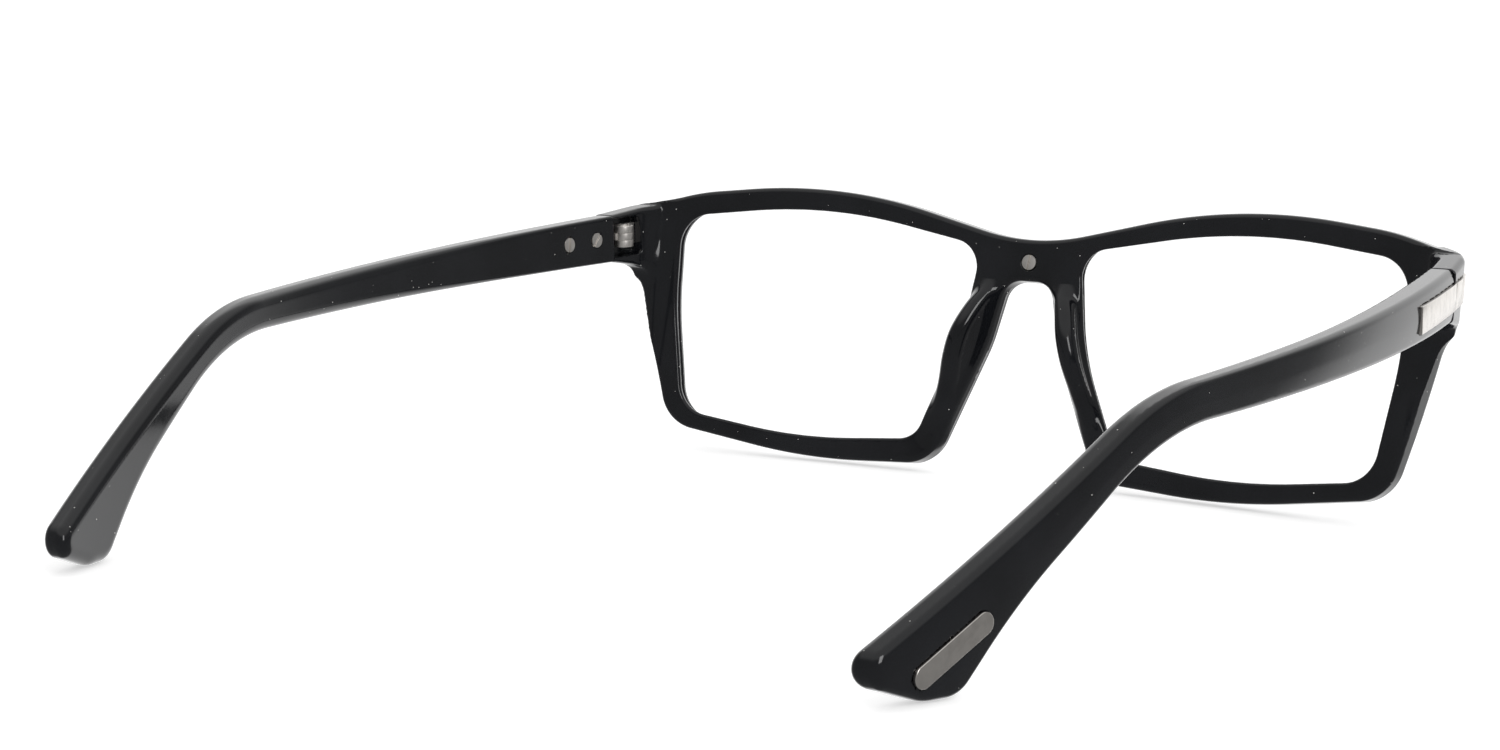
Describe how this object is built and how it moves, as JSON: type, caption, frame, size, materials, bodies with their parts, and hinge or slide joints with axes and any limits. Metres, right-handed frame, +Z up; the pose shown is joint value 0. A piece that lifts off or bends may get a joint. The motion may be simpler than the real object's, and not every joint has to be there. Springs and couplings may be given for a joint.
{
  "type": "eyeglasses frame",
  "caption": "Rectangular black acetate eyeglasses frame with folding temples on barrel hinges, slotted screws, polished metal side plates and empty lens seats.",
  "frame": {"origin": "middle of the open frame's footprint, on the table it stands on", "axes": "+X is the wearer's left, +Y runs back along the temples, +Z is up; the front faces -Y"},
  "size_m": [0.1532, 0.1584, 0.0447],
  "materials": {
    "acetate": "tumble-polished black cellulose acetate with a few pale specks",
    "polished_trim": "polished warm silver nickel",
    "hinge_metal": "nickel-silver hinge, polished by tumbling",
    "screw_steel": "turned stainless steel with a slotted head",
    "core_wire": "nickel-silver strip inside the acetate"
  },
  "bodies": {
    "front": {"front_frame": "acetate", "nose_pad_left": "acetate", "nose_pad_right": "acetate", "bridge_bar": "polished_trim", "bridge_screw": "screw_steel", "front_hinge_leaf_left": "hinge_metal", "hinge_screw_left": "screw_steel", "endpiece_plate_left": "polished_trim", "front_hinge_leaf_right": "hinge_metal", "hinge_screw_right": "screw_steel", "endpiece_plate_right": "polished_trim"},
    "left_temple": {"temple_left": "acetate", "core_wire_left": "core_wire", "temple_hinge_leaf_left": "hinge_metal", "temple_plate_left": "polished_trim", "temple_screws_left": "screw_steel", "tip_plaque_left": "polished_trim"},
    "right_temple": {"temple_right": "acetate", "core_wire_right": "core_wire", "temple_hinge_leaf_right": "hinge_metal", "temple_plate_right": "polished_trim", "temple_screws_right": "screw_steel", "tip_plaque_right": "polished_trim"}
  },
  "joints": [
    {"name": "fold_left", "type": "hinge", "parent": "front", "child": "left_temple", "pos_m": [0.0692, -0.06227, 0.03552], "axis": [0, 0.0819, 0.9966], "range_deg": [0, 85]},
    {"name": "fold_right", "type": "hinge", "parent": "front", "child": "right_temple", "pos_m": [-0.0692, -0.06227, 0.03552], "axis": [0, -0.0819, -0.9966], "range_deg": [0, 76]}
  ]
}
